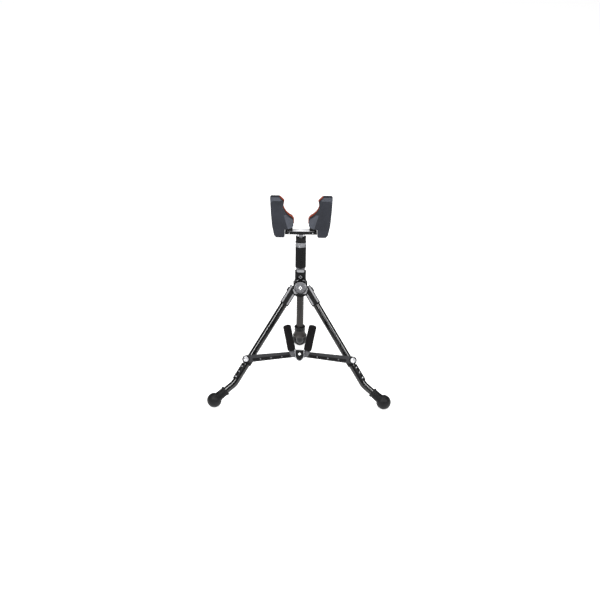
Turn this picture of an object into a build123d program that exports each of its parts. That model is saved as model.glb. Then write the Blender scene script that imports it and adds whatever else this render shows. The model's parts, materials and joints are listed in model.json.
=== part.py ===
from build123d import *
import os
from math import atan2, cos, degrees, hypot, radians, sin

os.makedirs("parts", exist_ok=True)

# A folding tripod stand for a wind or string instrument: a reclined A-frame of two front legs
# braced by two struts, a rear leg, a sliding column, and a padded cradle on top.
# Origin on the floor, midway between the front and rear feet, and midway between left and right.

# --- driving dimensions, in millimetres and degrees ---
footReach = 160.0  # front and rear ball centres, from the origin along Y
footSpread = 186.1  # front ball centres, from the middle plane
ballRadius = 16.2
ballHeight = 15.6  # the balls are worn flat by 0.6 mm where they stand
hubHeight = 240.7  # leg hinges above the floor
recline = 25.0  # lean of the A-frame from upright
tubeRadius = 8.0
tubeWall = 1.3
legAngle = 31.3  # each front leg from the A-frame's centre line, when open
legOffset = 4.2  # leg centre line outside its hinge
hingeHalf = 9.0  # leg hinges from the A-frame's centre line
socketHalf = 10.0  # the plastic leg sockets are square in section
socketLength = 45.0
tubeTop = 17.0  # the tube's upper end below the hinge, inside the socket
headRadius = 8.5
straightLength = 250.0  # front leg from its hinge to the bend
bendRadius = 35.0
guardThick = 1.7  # stiffening shell on the outside of each leg, above its bend
pinRadius = 3.0
runningFit = 0.05
columnBack = 22.0  # column axis behind the leg hinges
strutLow = 10.8  # strut layer, in front of the legs
strutThick = 7.0
pivotAlong = 190.6  # strut pivot on the leg, along and outside its centre line
pivotOut = 6.9
braceHalf = 7.5  # strut pins on the lower hub
braceDrop = 145.0
pegDrop = 147.0
pegForward = 30.0
pegLean = 11.7
pegTilt = 20.0
cradleRadius = 41.6
plateHeight = 366.3
plateThick = 4.0

# The A-frame lies in its own plane: x to the right, y up the frame, z towards the player.
reclineSin = sin(radians(recline))
reclineCos = cos(radians(recline))
hubY = -footReach + (hubHeight - ballHeight) * reclineSin / reclineCos
frame = Plane(origin=(0, hubY, hubHeight), x_dir=(1, 0, 0), z_dir=(0, -reclineCos, reclineSin))
footDown = (hubHeight - ballHeight) / reclineCos
rear = Plane(origin=(0, hubY, hubHeight), x_dir=(0, 1, 0), z_dir=(1, 0, 0))
columnY = hubY + columnBack

# The rear leg hangs from ears behind the column.
rearHinge = (46.0, -8.7)
rearToe = (footReach - hubY, ballHeight - hubHeight)
rearBend = (165.0, -207.7)


def save(piece, name):
    """Label a finished piece and write it as one STEP file."""
    piece.part.label = name
    export_step(piece.part, f"parts/{name}.step")


def savePair(piece, name):
    """Write a right-hand piece and its mirror image on the left."""
    with BuildPart() as twin:
        mirror(piece.part, about=Plane.YZ)
    save(piece, f"{name}_right")
    save(twin, f"{name}_left")


def legFrame(plane, hinge, angle):
    """A plane at a leg's hinge: x points outwards across the leg, y up along it."""
    turn = radians(angle)
    origin = plane.from_local_coords((hinge[0], hinge[1], 0))
    across = plane.from_local_coords((cos(turn), sin(turn), 0)) - plane.origin
    return Plane(origin=origin, x_dir=across, z_dir=plane.z_dir)


# --- legs: a socket, a bent tube, a button, a rivetted guard and a ball foot each ---
def makeSocket(leg):
    """The moulded socket that turns on the hinge pin and grips the tube's top."""
    with BuildPart() as socket:
        with BuildSketch(leg.offset(-socketHalf)):
            Circle(headRadius)
            with Locations((legOffset, -socketLength / 2)):
                Rectangle(2 * socketHalf, socketLength)
        extrude(amount=2 * socketHalf)
        mouth = socket.faces().sort_by(Axis(leg.origin, leg.y_dir))[0]
        chamfer(mouth.edges(), length=1.5)
        with BuildSketch(leg.offset(-socketHalf)):
            Circle(pinRadius + runningFit)
        extrude(amount=2 * socketHalf, mode=Mode.SUBTRACT)
        with BuildSketch(tubePlane(leg, -socketLength)):
            Circle(tubeRadius)
        extrude(amount=socketLength - tubeTop + 0.2, mode=Mode.SUBTRACT)
        with BuildSketch(buttonPlane(leg, 3.5)):
            SlotOverall(10.6, 6.6)
        extrude(amount=socketHalf, mode=Mode.SUBTRACT)
    return socket


def tubePlane(leg, along):
    """A plane across a leg's centre line, facing up along it."""
    origin = leg.from_local_coords((legOffset, along, 0))
    return Plane(origin=origin, x_dir=leg.x_dir, z_dir=leg.y_dir)


def buttonPlane(leg, out):
    """A plane facing outwards from the leg's centre line, at the release button."""
    origin = leg.from_local_coords((legOffset + out, -11.0, 0))
    return Plane(origin=origin, x_dir=leg.y_dir, z_dir=leg.x_dir)


def makeTube(leg, bend, toe):
    """A bent tube, round outside with two shallow grooves along its front, hollow inside."""
    with BuildPart() as tube:
        with BuildLine(leg) as path:
            FilletPolyline((legOffset, -tubeTop), bend, toe, radius=bendRadius)
        start = Plane(origin=path.line @ 0, x_dir=leg.x_dir, z_dir=path.line % 0)
        with BuildSketch(start):
            Circle(tubeRadius)
            with PolarLocations(tubeRadius, 2, start_angle=55, angular_range=70, endpoint=True):
                Rectangle(1.2, 1.4, mode=Mode.SUBTRACT)
            Circle(tubeRadius - tubeWall, mode=Mode.SUBTRACT)
        sweep()
    return tube


def makeButton(leg):
    """The oval release button in the socket's outer face."""
    with BuildPart() as button:
        with BuildSketch(buttonPlane(leg, 5.5)):
            SlotOverall(10.0, 6.0)
        extrude(amount=6.5)
        outer = button.faces().sort_by(Axis(leg.origin, leg.x_dir))[-1]
        fillet(outer.edges(), radius=0.8)
    return button


def makeGuard(leg, low, high):
    """A half shell that stiffens the outside of the tube above its bend."""
    with BuildPart() as guard:
        with BuildSketch(tubePlane(leg, low)):
            Circle(tubeRadius + guardThick)
            Circle(tubeRadius, mode=Mode.SUBTRACT)
            with Locations((-tubeRadius, 0)):
                Rectangle(2 * tubeRadius, 4 * tubeRadius, mode=Mode.SUBTRACT)
        extrude(amount=high - low)
        for facing in rivetPlanes(leg, low, high):
            with BuildSketch(facing):
                Circle(1.1)
            extrude(amount=2 * tubeRadius, mode=Mode.SUBTRACT)
    return guard


def rivetPlanes(leg, low, high):
    """Three planes on the leg's centre line that face outwards and forwards."""
    facings = []
    for step in range(3):
        along = low + (step + 0.5) * (high - low) / 3
        spot = leg.from_local_coords((legOffset, along, 0))
        facings.append(Plane(origin=spot, x_dir=leg.y_dir, z_dir=leg.x_dir + leg.z_dir * 1.4))
    return facings


def makeRivets(leg, low, high):
    """Three domed rivets across the front of the guard."""
    with BuildPart() as rivets:
        for facing in rivetPlanes(leg, low, high):
            with BuildSketch(facing.offset(tubeRadius + guardThick + 0.2)):
                Circle(1.7)
            extrude(amount=0.9)
            with BuildSketch(facing.offset(tubeRadius)):
                Circle(1.1)
            extrude(amount=guardThick + 0.2)
        outer = rivets.faces().filter_by(GeomType.PLANE).filter_by(
            lambda face: face.normal_at().dot(leg.z_dir) > 0.5
        )
        fillet(outer.edges(), radius=0.6)
    return rivets


def makeFoot(plane, bend, toe):
    """A rubber ball foot whose ribbed boot grips the end of the tube."""
    run = hypot(bend[0] - toe[0], bend[1] - toe[1])
    up = ((bend[0] - toe[0]) / run, (bend[1] - toe[1]) / run)
    centre = plane.from_local_coords((toe[0], toe[1], 0))
    axis = plane.from_local_coords((up[0], up[1], 0)) - plane.origin
    side = Plane(origin=centre, x_dir=plane.z_dir, z_dir=plane.z_dir.cross(axis))
    if side.y_dir.dot(axis) < 0:
        side = Plane(origin=centre, x_dir=plane.z_dir, z_dir=-side.z_dir)
    with BuildPart() as foot:
        with BuildSketch(side):
            with BuildLine():
                boot = Polyline((0, 0), (0, 34), (11, 34), (11, 30.5), (9.7, 29.5), (10.6, 12), (10.6, 0))
                Line(boot @ 1, boot @ 0)
            make_face()
        revolve(axis=Axis(centre, axis))
        with Locations(centre):
            Sphere(ballRadius)
        across = Plane(origin=centre, x_dir=plane.z_dir, z_dir=axis)
        with BuildSketch(across.offset(4)):
            Circle(tubeRadius)
        extrude(amount=40, mode=Mode.SUBTRACT)
        with BuildSketch(Plane(origin=(centre.X, centre.Y, 0))):
            Circle(2 * ballRadius)
        extrude(amount=-ballRadius, mode=Mode.SUBTRACT)
    return foot


def alongToe(bend, toe, short):
    """The point on the toe run that lies a little above the ball's centre."""
    run = hypot(bend[0] - toe[0], bend[1] - toe[1])
    return (toe[0] + (bend[0] - toe[0]) * short / run, toe[1] + (bend[1] - toe[1]) * short / run)


def toLeg(plane, leg, point):
    """A point of the frame plane, in the leg's own plane."""
    local = leg.to_local_coords(plane.from_local_coords((point[0], point[1], 0)))
    return (local.X, local.Y)


frontLeg = legFrame(frame, (hingeHalf, 0), legAngle)
frontToe = (footSpread, -footDown)
turn = radians(legAngle)
frontBend = (
    hingeHalf + legOffset * cos(turn) + straightLength * sin(turn),
    legOffset * sin(turn) - straightLength * cos(turn),
)
reach = hypot(rearBend[0] - rearHinge[0], rearBend[1] - rearHinge[1])
rearLine = atan2(rearBend[0] - rearHinge[0], rearHinge[1] - rearBend[1])
rearAngle = degrees(rearLine) - degrees(atan2(legOffset, reach))
rearLeg = legFrame(rear, rearHinge, rearAngle)
rearLength = -toLeg(rear, rearLeg, rearBend)[1]

tubeEnd = 4.3  # the tube stops this far above the ball's centre
frontPath = [toLeg(frame, frontLeg, p) for p in (frontBend, alongToe(frontBend, frontToe, tubeEnd))]
rearPath = [toLeg(rear, rearLeg, p) for p in (rearBend, alongToe(rearBend, rearToe, tubeEnd))]

savePair(makeSocket(frontLeg), "leg_socket")
savePair(makeTube(frontLeg, *frontPath), "leg_tube")
savePair(makeButton(frontLeg), "leg_button")
frontGuard = (-straightLength + 9, -pivotAlong - 11)
savePair(makeGuard(frontLeg, *frontGuard), "leg_guard")
savePair(makeRivets(frontLeg, *frontGuard), "leg_rivets")
savePair(makeFoot(frame, frontBend, frontToe), "foot")

save(makeSocket(rearLeg), "leg_socket_rear")
save(makeTube(rearLeg, *rearPath), "leg_tube_rear")
save(makeButton(rearLeg), "leg_button_rear")
rearGuard = (-rearLength + 16, -rearLength + 56)
save(makeGuard(rearLeg, *rearGuard), "leg_guard_rear")
save(makeRivets(rearLeg, *rearGuard), "leg_rivets_rear")
save(makeFoot(rear, rearBend, rearToe), "foot_rear")


# --- strut pivots on the front legs ---
lugRadius = 8.0
lugThick = 8.6


def makeBoss():
    """A clamp round the front leg with a rounded lug that faces the strut's outer pin."""
    with BuildPart() as boss:
        with BuildSketch(tubePlane(frontLeg, -pivotAlong - 9)):
            Circle(tubeRadius + guardThick)
        extrude(amount=18)
        with BuildSketch(frontLeg.offset(strutLow - 0.5 - lugThick)):
            with Locations((legOffset + pivotOut, -pivotAlong)):
                Circle(lugRadius)
            with Locations((legOffset + pivotOut / 2, -pivotAlong)):
                Rectangle(pivotOut, 2 * lugRadius)
        extrude(amount=lugThick)
        with BuildSketch(tubePlane(frontLeg, -pivotAlong - 9)):
            Circle(tubeRadius)
        extrude(amount=18, mode=Mode.SUBTRACT)
    return boss


savePair(makeBoss(), "strut_boss")


# --- hub: bracket plates, body with the column bore and rear ears, ring, disc, pins and screws ---
with BuildPart() as hubBracket:
    for low in (-socketHalf - 3, socketHalf + 0.3):
        with BuildSketch(frame.offset(low)):
            with BuildLine():
                Polyline((-12.4, 11.9), (12.4, 11.9), (19, -2), (14, -15), (-14, -15), (-19, -2), close=True)
            make_face()
        extrude(amount=2.7)
    with BuildSketch(frame.offset(-socketHalf - 3)):
        with Locations((0, 10.55)):
            Rectangle(24.8, 2.7)
    extrude(amount=2 * socketHalf + 6)
    with BuildSketch(Plane.XY.offset(hubHeight - 40)):
        with Locations((0, columnY)):
            Circle(tubeRadius + 0.3)
    extrude(amount=80, mode=Mode.SUBTRACT)
    with BuildSketch(frame.offset(-20)):
        with Locations((-hingeHalf, 0), (hingeHalf, 0)):
            Circle(pinRadius)
    extrude(amount=40, mode=Mode.SUBTRACT)
save(hubBracket, "hub_bracket")

with BuildPart() as hubBody:
    with BuildSketch(Plane.XY.offset(hubHeight - 26)):
        with Locations((0, columnY)):
            Circle(13)
    extrude(amount=35)
    for sideX in (-13.3, 10.3):
        with BuildSketch(Plane.YZ.offset(sideX)):
            with Locations((hubY + rearHinge[0], hubHeight + rearHinge[1])):
                Circle(8)
            with BuildLine():
                Polyline(
                    (columnY, hubHeight - 22),
                    (columnY, hubHeight + 3),
                    (hubY + rearHinge[0] + 2, hubHeight + rearHinge[1] + 7.6),
                    (hubY + rearHinge[0] + 2, hubHeight + rearHinge[1] - 7.6),
                    close=True,
                )
            make_face()
        extrude(amount=3)
        with BuildSketch(Plane.YZ.offset(sideX)):
            with Locations((hubY + rearHinge[0], hubHeight + rearHinge[1])):
                Circle(pinRadius)
        extrude(amount=3, mode=Mode.SUBTRACT)
    with BuildSketch(frame.offset(-socketHalf - 3)):
        Rectangle(60, 120)
    extrude(amount=60, mode=Mode.SUBTRACT)
    with BuildSketch(Plane.XY.offset(hubHeight - 40)):
        with Locations((0, columnY)):
            Circle(tubeRadius + runningFit)
    extrude(amount=80, mode=Mode.SUBTRACT)
save(hubBody, "hub_body")

with BuildPart() as hingePins:
    with BuildSketch(frame.offset(-socketHalf - 3)):
        with Locations((-hingeHalf, 0), (hingeHalf, 0)):
            Circle(pinRadius)
    extrude(amount=2 * socketHalf + 6)
    with BuildSketch(Plane.YZ.offset(-14.5)):
        with Locations((hubY + rearHinge[0], hubHeight + rearHinge[1])):
            Circle(pinRadius)
    extrude(amount=29)
    with BuildSketch(Plane.YZ.offset(-15.5), Plane.YZ.offset(13.3)):
        with Locations((hubY + rearHinge[0], hubHeight + rearHinge[1])):
            Circle(5)
    extrude(amount=2.2)
save(hingePins, "leg_pins")

discLow = socketHalf + 3.0
with BuildPart() as hubRing:
    with BuildSketch(frame.offset(discLow)):
        Circle(15.6)
        Circle(13.6, mode=Mode.SUBTRACT)
    extrude(amount=3.4)
    fillet(hubRing.edges().sort_by(Axis(frame.origin, frame.z_dir))[-2:], radius=0.6)
save(hubRing, "hub_ring")

with BuildPart() as hubDisc:
    with BuildSketch(frame.offset(discLow)):
        Circle(13.5)
    extrude(amount=2.6)
    chamfer(hubDisc.edges().sort_by(Axis(frame.origin, frame.z_dir))[-1], length=0.6)
    with BuildSketch(frame.offset(discLow + 2.6)):
        RegularPolygon(radius=4.6, side_count=4)
        RegularPolygon(radius=2.6, side_count=4, mode=Mode.SUBTRACT)
    extrude(amount=0.4)
save(hubDisc, "hub_disc")


# --- column clamp on the hub, with its screws and cam lever ---
clampLow = hubHeight + 9.0
clampHigh = hubHeight + 30.8
with BuildPart() as clamp:
    with BuildSketch(Plane.XY.offset(clampLow)):
        with Locations((0, columnY)):
            RectangleRounded(24.4, 24, 5)
        with Locations((0, columnY + 12)):
            Rectangle(14, 12)
    extrude(amount=clampHigh - clampLow)
    chamfer(clamp.faces().sort_by(Axis.Z)[-1].outer_wire().edges(), length=1.2)
    with BuildSketch(Plane.XY.offset(clampLow)):
        with Locations((0, columnY)):
            Circle(tubeRadius + runningFit)
        with Locations((0, columnY + 14)):
            Rectangle(1.6, 14)
    extrude(amount=30, mode=Mode.SUBTRACT)
save(clamp, "column_clamp")

leverY = columnY + 24.5
leverZ = hubHeight + 19.0
with BuildPart() as leverPin:
    with BuildSketch(Plane.YZ.offset(-9.5)):
        with Locations((leverY, leverZ)):
            Circle(2.5)
    extrude(amount=19)
    for sideX in (-7.0, 4.6):
        with BuildSketch(Plane.YZ.offset(sideX)):
            with Locations((leverY - 1.75, leverZ)):
                Rectangle(9.5, 8)
        extrude(amount=2.4)
save(leverPin, "lever_fork")

with BuildPart() as lever:
    with BuildSketch(Plane.YZ.offset(-4.2)):
        with Locations((leverY, leverZ)):
            Circle(4.2)
        with Locations((leverY + 1.6, leverZ + 19)):
            Rectangle(4.4, 38)
    extrude(amount=8.4)
    with BuildSketch(Plane.YZ.offset(-10)):
        with Locations((leverY, leverZ)):
            Circle(2.5 + runningFit)
    extrude(amount=20, mode=Mode.SUBTRACT)
    fillet(lever.edges().filter_by(Axis.X).sort_by(Axis.Z)[-2:], radius=1.5)
save(lever, "clamp_lever")

with BuildPart() as clampScrews:
    front = columnY - 12.0
    with BuildSketch(Plane.XZ.offset(-front)):
        with Locations((-6.6, clampLow + 4.4), (6.6, clampLow + 4.4)):
            Circle(2.1)
    extrude(amount=1.6)
    heads = clampScrews.edges().filter_by(GeomType.CIRCLE).group_by(Axis.Y)[0]
    chamfer(heads, length=0.4)
save(clampScrews, "clamp_screws")


# --- column: tube, end ring and bell, strip, arm and collar ---
bellLow = 114.8
with BuildPart() as column:
    with BuildSketch(Plane.XY.offset(bellLow + 3)):
        with Locations((0, columnY)):
            Circle(tubeRadius)
            Circle(tubeRadius - tubeWall, mode=Mode.SUBTRACT)
    extrude(amount=300 - bellLow)
save(column, "column_tube")

with BuildPart() as bell:
    with BuildSketch(Plane.YZ):
        with BuildLine():
            Polyline(
                (columnY + tubeRadius, bellLow + 16),
                (columnY + 11.3, bellLow + 16),
                (columnY + 12.2, bellLow + 9),
                (columnY + 15.5, bellLow + 1.2),
                (columnY + 14.8, bellLow),
                (columnY + tubeRadius, bellLow),
                close=True,
            )
        make_face()
    revolve(axis=Axis((0, columnY, 0), (0, 0, 1)))
save(bell, "column_bell")

with BuildPart() as ring:
    with BuildSketch(Plane.XY.offset(bellLow + 18)):
        with Locations((0, columnY)):
            Circle(12.2)
            Circle(tubeRadius, mode=Mode.SUBTRACT)
    extrude(amount=6.5)
    fillet(ring.edges().filter_by(GeomType.CIRCLE).sort_by(SortBy.RADIUS)[-2:], radius=1.4)
save(ring, "column_ring")

armLow = hubHeight + 37.6
armHigh = hubHeight + 91.5
with BuildPart() as strip:
    with BuildSketch(Plane.XY.offset(clampHigh + 0.4)):
        with Locations((0, columnY)):
            RectangleRounded(16.4, 17, 3)
            Circle(tubeRadius - tubeWall, mode=Mode.SUBTRACT)
    extrude(amount=armLow - clampHigh - 0.4)
    with BuildSketch(Plane.XY.offset(clampHigh)):
        with Locations((0, columnY)):
            Circle(tubeRadius)
    extrude(amount=20, mode=Mode.SUBTRACT)
save(strip, "arm_strip")

with BuildPart() as arm:
    with BuildSketch(Plane.XZ.offset(-columnY - 10)):
        with BuildLine():
            Polyline(
                (-8, armLow), (8, armLow), (11.75, armLow + 5.5), (11.75, armHigh),
                (-11.75, armHigh), (-11.75, armLow + 5.5), close=True,
            )
        make_face()
    extrude(amount=20)
    fillet(arm.edges().filter_by(Axis.Z), radius=3)
    with BuildSketch(Plane.XY.offset(armLow)):
        with Locations((0, columnY)):
            Circle(tubeRadius)
    extrude(amount=303 - armLow, mode=Mode.SUBTRACT)
save(arm, "arm_body")

collarHigh = hubHeight + 103.6
with BuildPart() as collar:
    with BuildSketch(Plane.XY.offset(armHigh)):
        with Locations((0, columnY)):
            Circle(12.2)
            Circle(4, mode=Mode.SUBTRACT)
    extrude(amount=collarHigh - armHigh)
    chamfer(collar.edges().filter_by(GeomType.CIRCLE).sort_by(SortBy.RADIUS)[-2:], length=1)
save(collar, "arm_collar")


# --- swivel head and the cradle that tilts on it ---
headHigh = hubHeight + 113.3
tiltZ = hubHeight + 119.0
with BuildPart() as head:
    with BuildSketch(Plane.XY.offset(collarHigh + 0.3)):
        with Locations((0, columnY)):
            RectangleRounded(22.4, 20, 4)
    extrude(amount=headHigh - collarHigh - 0.3)
    with BuildSketch(Plane.YZ.offset(-3.9)):
        with Locations((columnY, tiltZ)):
            Circle(5)
        with Locations((columnY, tiltZ - 4)):
            Rectangle(10, 8)
    extrude(amount=7.8)
    with BuildSketch(Plane.XY.offset(armHigh + 0.5)):
        with Locations((0, columnY)):
            Circle(4 - runningFit)
    extrude(amount=collarHigh - armHigh)
    with BuildSketch(Plane.YZ.offset(-10)):
        with Locations((columnY, tiltZ)):
            Circle(2 + runningFit)
    extrude(amount=20, mode=Mode.SUBTRACT)
save(head, "swivel_head")

with BuildPart() as bracket:
    for sideX in (-7.3, 4.2):
        with BuildSketch(Plane.YZ.offset(sideX)):
            with BuildLine():
                Polyline(
                    (columnY - 3.6, tiltZ - 3.2), (columnY + 3.6, tiltZ - 3.2),
                    (columnY + 6, plateHeight), (columnY - 6, plateHeight), close=True,
                )
            make_face()
        extrude(amount=3.1)
        with BuildSketch(Plane.YZ.offset(sideX)):
            with Locations((columnY, tiltZ)):
                Circle(2)
        extrude(amount=3.1, mode=Mode.SUBTRACT)
save(bracket, "cradle_bracket")

with BuildPart() as tiltScrew:
    with BuildSketch(Plane.YZ.offset(-7.5)):
        with Locations((columnY, tiltZ)):
            Circle(2)
    extrude(amount=15)
    with BuildSketch(Plane.YZ.offset(-9.3), Plane.YZ.offset(7.3)):
        with Locations((columnY, tiltZ)):
            Circle(3.6)
    extrude(amount=2)
save(tiltScrew, "tilt_screw")

boltX = 25.7
with BuildPart() as plate:
    with BuildSketch(Plane.XY.offset(plateHeight)):
        with Locations((0, columnY)):
            SlotOverall(70, 16)
    extrude(amount=plateThick)
    chamfer(plate.faces().sort_by(Axis.Z)[-1].edges(), length=0.5)
    with BuildSketch(Plane.XY.offset(plateHeight + plateThick)):
        with Locations((-boltX - 0.5, columnY), (boltX + 0.5, columnY)):
            RectangleRounded(15.5, 13, 2)
    extrude(amount=13)
save(plate, "cradle_plate")

with BuildPart() as bolts:
    with BuildSketch(Plane.XY.offset(plateHeight - 3)):
        with Locations((-boltX, columnY), (boltX, columnY)):
            RegularPolygon(radius=3.6, side_count=6)
    extrude(amount=3)
save(bolts, "cradle_bolts")

padFront = 18.0  # half depth of a pad at its foot
padTop = 449.0
padLow = 360.0
with BuildPart() as pad:
    with BuildSketch(Plane.XZ.offset(-columnY - padFront)):
        with BuildLine():
            arc = RadiusArc((20.8, 401), (40.4, 427), -cradleRadius)
            Polyline(
                arc @ 1, (38.3, 438.6), (48.5, padTop), (66, padTop), (68.4, 446), (66.4, 415),
                (63.8, 388), (58.7, 365), (54, padLow), (38, padLow), (35.6, 362.5), (35.6, 378),
                (19.5, 381.5), (16.7, 385), (16.9, 396), arc @ 0,
            )
        make_face()
    extrude(amount=2 * padFront)
    with BuildSketch(Plane.YZ):
        with BuildLine():
            Polyline(
                (columnY - padFront, padLow), (columnY + padFront, padLow),
                (columnY + padFront, 372), (columnY + 9, padTop), (columnY - 9, padTop),
                (columnY - padFront, 372), close=True,
            )
        make_face()
    extrude(amount=80, mode=Mode.INTERSECT)
    add(plate.part, mode=Mode.SUBTRACT)
savePair(pad, "cradle_pad")

linerThick = 1.3  # a silicone skin on the back half of the pad's inner edge
with BuildPart() as liner:
    with BuildSketch(Plane.XZ.offset(-columnY - 9)):
        with BuildLine():
            arc = RadiusArc((20.8, 401), (40.4, 427), -cradleRadius)
            Polyline(arc @ 1, (38.3, 438.6), (47.5, padTop - 1))
            Polyline((16.7, 385), (16.9, 396), arc @ 0)
            offset(amount=linerThick, side=Side.LEFT)
        make_face()
    extrude(amount=7)
savePair(liner, "cradle_liner")
savePair(liner, "cradle_liner")


# --- lower hub, struts and rest pegs ---
hubBack = strutLow - 0.3
with BuildPart() as lowerHub:
    for low, thick in ((hubBack - 1.9, 1.9), (strutLow + strutThick + 0.3, 2.5)):
        with BuildSketch(frame.offset(low)):
            with BuildLine():
                Polyline(
                    (-13.5, -134.5), (13.5, -134.5), (13.5, -150), (5, -159.5), (-5, -159.5),
                    (-13.5, -150), close=True,
                )
            make_face()
        extrude(amount=thick)
    with BuildSketch(frame.offset(hubBack)):
        with Locations((-braceHalf, -braceDrop), (braceHalf, -braceDrop)):
            Circle(pinRadius)
    extrude(amount=strutThick + 0.6)
save(lowerHub, "lower_hub")

blockLow = strutLow + strutThick + 2.8
blockHigh = pegForward + 6
with BuildPart() as hubBlock:
    with BuildSketch(frame.offset(blockLow)):
        with BuildLine():
            Polyline((-8.4, -136), (8.4, -136), (8.4, -151), (3, -158), (-3, -158), (-8.4, -151), close=True)
        make_face()
    extrude(amount=blockHigh - blockLow)
    chamfer(hubBlock.faces().sort_by(Axis(frame.origin, frame.z_dir))[-1].edges(), length=1)
    with BuildSketch(frame.offset(blockHigh)):
        with Locations((0, -144.5)):
            RegularPolygon(radius=3.4, side_count=4)
    extrude(amount=0.4)
save(hubBlock, "lower_hub_block")

pegAxis = Axis(frame.from_local_coords((0, -pegDrop, pegForward)), (1, 0, 0))
pegPins = Plane(origin=pegAxis.position, x_dir=(0, 1, 0), z_dir=(1, 0, 0))
with BuildPart() as pegPin:
    with BuildSketch(pegPins.offset(8.4)):
        Circle(2.5)
    extrude(amount=13.6)
    mirror(about=Plane.YZ)
save(pegPin, "peg_pins")

lean = radians(pegLean)
tilt = radians(pegTilt)
pegX = 15.1
pegDirection = frame.from_local_coords((sin(lean) * cos(tilt), cos(lean) * cos(tilt), sin(tilt))) - frame.origin
pegOrigin = frame.from_local_coords((pegX, -pegDrop, pegForward))
pegPlane = Plane(origin=pegOrigin, z_dir=pegDirection)
foamStart = 12.0
foamLength = 58.0
with BuildPart() as elbow:
    with BuildSketch(pegPins.offset(8.7)):
        Circle(6.4)
    extrude(amount=12.9)
    with BuildSketch(pegPlane):
        Circle(5.6)
    extrude(amount=foamStart)
    with BuildSketch(pegPlane.offset(foamStart)):
        Circle(3.5)
    extrude(amount=foamLength - 10)
    with BuildSketch(pegPins):
        Circle(2.5 + runningFit)
    extrude(amount=30, mode=Mode.SUBTRACT)
savePair(elbow, "peg_elbow")

with BuildPart() as foam:
    with BuildSketch(pegPlane.offset(foamStart)):
        Circle(8.8)
    extrude(amount=foamLength)
    ends = foam.edges().filter_by(GeomType.CIRCLE)
    fillet(ends, radius=2.4)
    with BuildSketch(pegPlane.offset(foamStart)):
        Circle(3.5)
    extrude(amount=foamLength - 10, mode=Mode.SUBTRACT)
savePair(foam, "peg_foam")

pivotSpot = frontLeg.from_local_coords((legOffset + pivotOut, -pivotAlong, 0))
pivotLocal = frame.to_local_coords(pivotSpot)
dropX = pivotLocal.X - braceHalf
dropY = pivotLocal.Y + braceDrop
strutLength = hypot(dropX, dropY)
strutTurn = atan2(dropY, dropX)
strutPlane = Plane(
    origin=frame.from_local_coords((braceHalf, -braceDrop, strutLow)),
    x_dir=frame.from_local_coords((cos(strutTurn), sin(strutTurn), 0)) - frame.origin,
    z_dir=frame.z_dir,
)
with BuildPart() as strut:
    with BuildSketch(strutPlane):
        Circle(6.4)
        with Locations((strutLength, 0)):
            Circle(8.2)
        with BuildLine():
            Polyline(
                (0.5, -6.4), (strutLength, -8.2), (strutLength, 8.2), (0.5, 6.4), close=True,
            )
        make_face()
    extrude(amount=strutThick)
    with BuildSketch(strutPlane.offset(strutThick - 2)):
        with Locations((strutLength * 0.5, -2.6)):
            SlotOverall(82, 5.6)
    extrude(amount=2, mode=Mode.SUBTRACT)
    with BuildSketch(strutPlane):
        Circle(pinRadius + runningFit)
    extrude(amount=strutThick, mode=Mode.SUBTRACT)
    with BuildSketch(strutPlane):
        with Locations((strutLength, 0)):
            Circle(4)
    extrude(amount=strutThick, mode=Mode.SUBTRACT)
savePair(strut, "strut")

with BuildPart() as strutDots:
    with BuildSketch(strutPlane.offset(strutThick - 2)):
        with Locations((strutLength * 0.5, -2.6)):
            with GridLocations(23.5, 1, 3, 1):
                Circle(1.6)
    extrude(amount=1.6)
savePair(strutDots, "strut_rivets")

with BuildPart() as pivotRing:
    with BuildSketch(strutPlane.offset(strutThick)):
        with Locations((strutLength, 0)):
            Circle(8)
            Circle(6.1, mode=Mode.SUBTRACT)
    extrude(amount=1.6)
savePair(pivotRing, "pivot_ring")

with BuildPart() as pivotCap:
    with BuildSketch(strutPlane):
        with Locations((strutLength, 0)):
            Circle(4)
    extrude(amount=strutThick)
    with BuildSketch(strutPlane.offset(strutThick)):
        with Locations((strutLength, 0)):
            Circle(6)
    extrude(amount=2)
    top = pivotCap.faces().sort_by(Axis(frame.origin, frame.z_dir))[-1]
    fillet(top.edges(), radius=0.7)
savePair(pivotCap, "pivot_cap")

# --- the numbers that the joints are built from ---
armReach = hypot(pivotLocal.X - hingeHalf, pivotLocal.Y)
closedX = hingeHalf + armReach * sin(atan2(pivotLocal.X - hingeHalf, -pivotLocal.Y) - turn)
closedY = -armReach * cos(atan2(pivotLocal.X - hingeHalf, -pivotLocal.Y) - turn)
closedPin = closedY + (strutLength**2 - (closedX - braceHalf) ** 2) ** 0.5
closedTurn = atan2(closedY - closedPin, closedX - braceHalf)
print("hub", frame.origin, "column y", columnY, "rear angle", rearAngle)
print("hub travel", closedPin + braceDrop, "strut turn", degrees(strutTurn - closedTurn))
for name, local in (
    ("hinge", (hingeHalf, 0, 0)),
    ("brace pin", (braceHalf, -braceDrop, strutLow)),
    ("peg pin", (0, -pegDrop, pegForward)),
    ("pivot", (pivotLocal.X, pivotLocal.Y, strutLow)),
):
    print(name, frame.from_local_coords(local))
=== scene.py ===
import json
import math

import bmesh
import bpy
from mathutils import Matrix, Vector


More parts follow.
